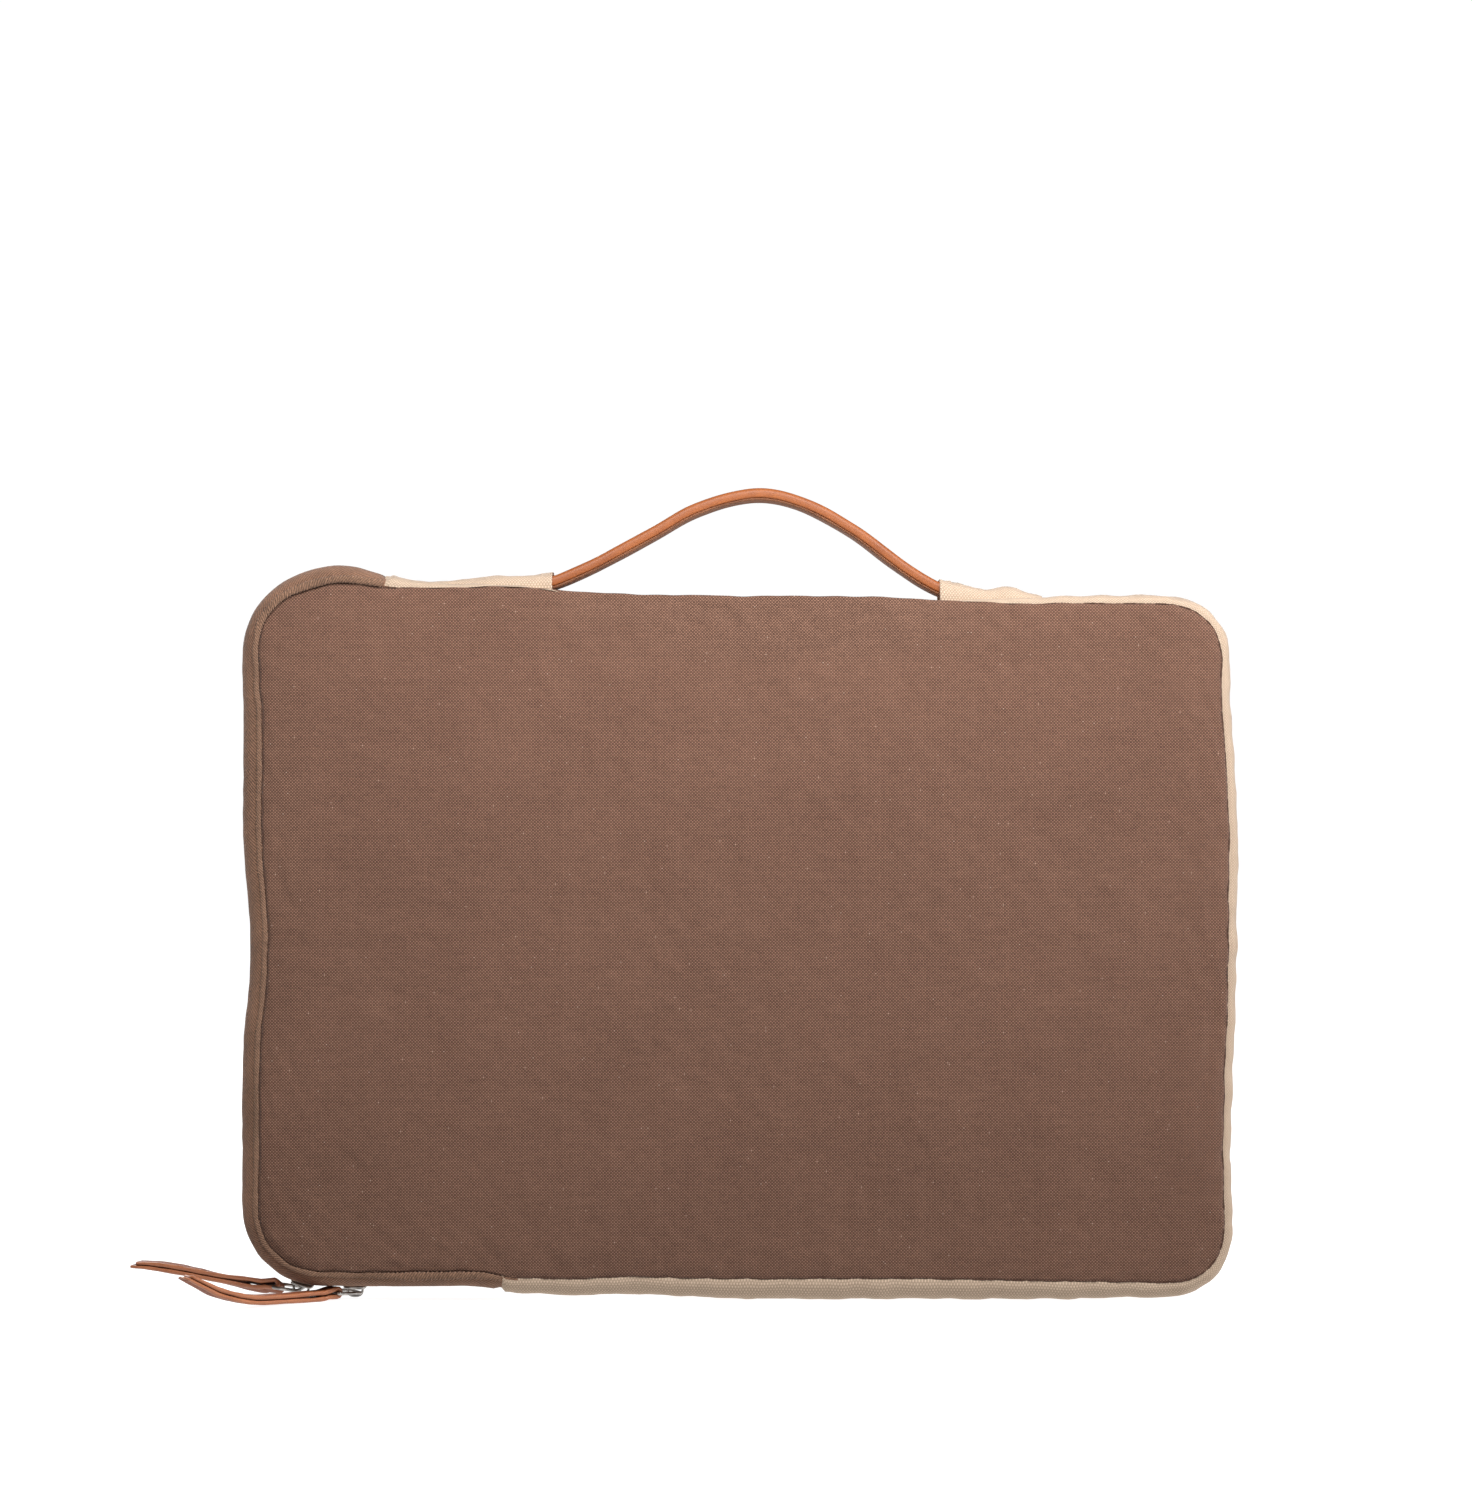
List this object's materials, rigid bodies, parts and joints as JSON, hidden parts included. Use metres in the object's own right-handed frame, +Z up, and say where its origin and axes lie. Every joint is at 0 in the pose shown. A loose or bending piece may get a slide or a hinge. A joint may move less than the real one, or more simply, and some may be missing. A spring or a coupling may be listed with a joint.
{
  "type": "laptop sleeve",
  "caption": "Padded canvas laptop sleeve with rounded corners, a corner-wrapping double zip with leather pulls, and a low arched leather carry handle on its top edge.",
  "frame": {"origin": "centre of the flat underside, where the sleeve stands on its long edge", "axes": "+X right along the long edge, seen from the front panel; +Y from the front panel to the back panel; +Z up, towards the handle"},
  "size_m": [0.3798, 0.0548, 0.2768],
  "materials": {
    "canvas_brown": "plain-weave brown canvas with pale flecks, matt",
    "canvas_natural": "undyed plain-weave canvas, matt",
    "zip_tape": "twill zip tape with a herringbone strip, matt",
    "zip_coil": "dark nylon coil",
    "foam": "grey foam padding",
    "lining": "smooth brushed lining cloth",
    "leather": "tan vegetable-tanned leather with burnished edges",
    "leather_back": "flesh side of the tan leather, darker and matt",
    "metal": "polished gunmetal",
    "thread": "pale sewing thread"
  },
  "bodies": {
    "root": {"back_canvas": "canvas_brown", "back_foam": "foam", "back_lining": "lining", "front_canvas": "canvas_brown", "front_foam": "foam", "front_lining": "lining", "gusset_canvas": "canvas_natural", "gusset_foam": "foam", "gusset_lining": "lining", "zip_tape_back": "zip_tape", "zip_coil_back": "zip_coil", "zip_stop_top": "thread", "zip_stop_bottom": "thread", "seam_binding_front": "lining", "seam_binding_back": "lining", "handle_end_left": "leather", "handle_end_right": "leather", "handle_tunnel_left": "canvas_natural", "handle_tunnel_right": "canvas_natural"},
    "mouth": {"front_canvas_mouth": "canvas_brown", "front_foam_mouth": "foam", "front_lining_mouth": "lining", "zip_tape_front": "zip_tape", "zip_coil_front": "zip_coil", "seam_binding_front_mouth": "lining"},
    "slider_a": {"slider_a_body": "metal", "slider_a_bail": "metal"},
    "slider_b": {"slider_b_body": "metal", "slider_b_bail": "metal"},
    "ring_a": {"ring_a": "metal"},
    "ring_b": {"ring_b": "metal"},
    "pull_a": {"pull_a": "leather"},
    "pull_b": {"pull_b": "leather"},
    "handle": {"handle_strap": "leather", "handle_backing": "leather_back"}
  },
  "joints": [
    {"name": "mouth_open", "type": "hinge", "parent": "root", "child": "mouth", "pos_m": [-0.101, -0.0135, 0.1248], "axis": [-0.1549, 0, 0.9879], "range_deg": [0, 30], "stiffness_Nm_per_rad": 0.08},
    {"name": "zip_slider_a", "type": "hinge", "parent": "root", "child": "slider_a", "pos_m": [-0.143, 0, 0.0315], "axis": [0, 1, 0], "range_deg": [0, 70]},
    {"name": "zip_slider_b", "type": "slide", "parent": "root", "child": "slider_b", "axis": [1, 0, 0], "range_m": [0, 0.036]},
    {"name": "ring_a_swing", "type": "hinge", "parent": "slider_a", "child": "ring_a", "pos_m": [-0.1502, 0, 0.00263], "axis": [-0.1736, -0.9848, 0], "range_deg": [0, 60]},
    {"name": "ring_b_swing", "type": "hinge", "parent": "slider_b", "child": "ring_b", "pos_m": [-0.1316, 0, 0.00175], "axis": [0.5736, -0.8192, 0], "range_deg": [0, 60]},
    {"name": "pull_a_swing", "type": "hinge", "parent": "ring_a", "child": "pull_a", "pos_m": [-0.15882, 0.00152, 0.00355], "axis": [-0.1736, -0.9848, 0], "range_deg": [-4, 30]},
    {"name": "pull_b_swing", "type": "hinge", "parent": "ring_b", "child": "pull_b", "pos_m": [-0.1388, -0.00504, 0.00221], "axis": [0.5736, -0.8192, 0], "range_deg": [-5, 30]},
    {"name": "handle_swing", "type": "hinge", "parent": "root", "child": "handle", "pos_m": [0.003, 0, 0.2502], "axis": [1, 0, 0], "range_deg": [-65, 65], "stiffness_Nm_per_rad": 0.02}
  ],
  "couplings": [
    {"joint": "zip_slider_a", "follows": "mouth_open", "ratio": 2.3333}
  ]
}
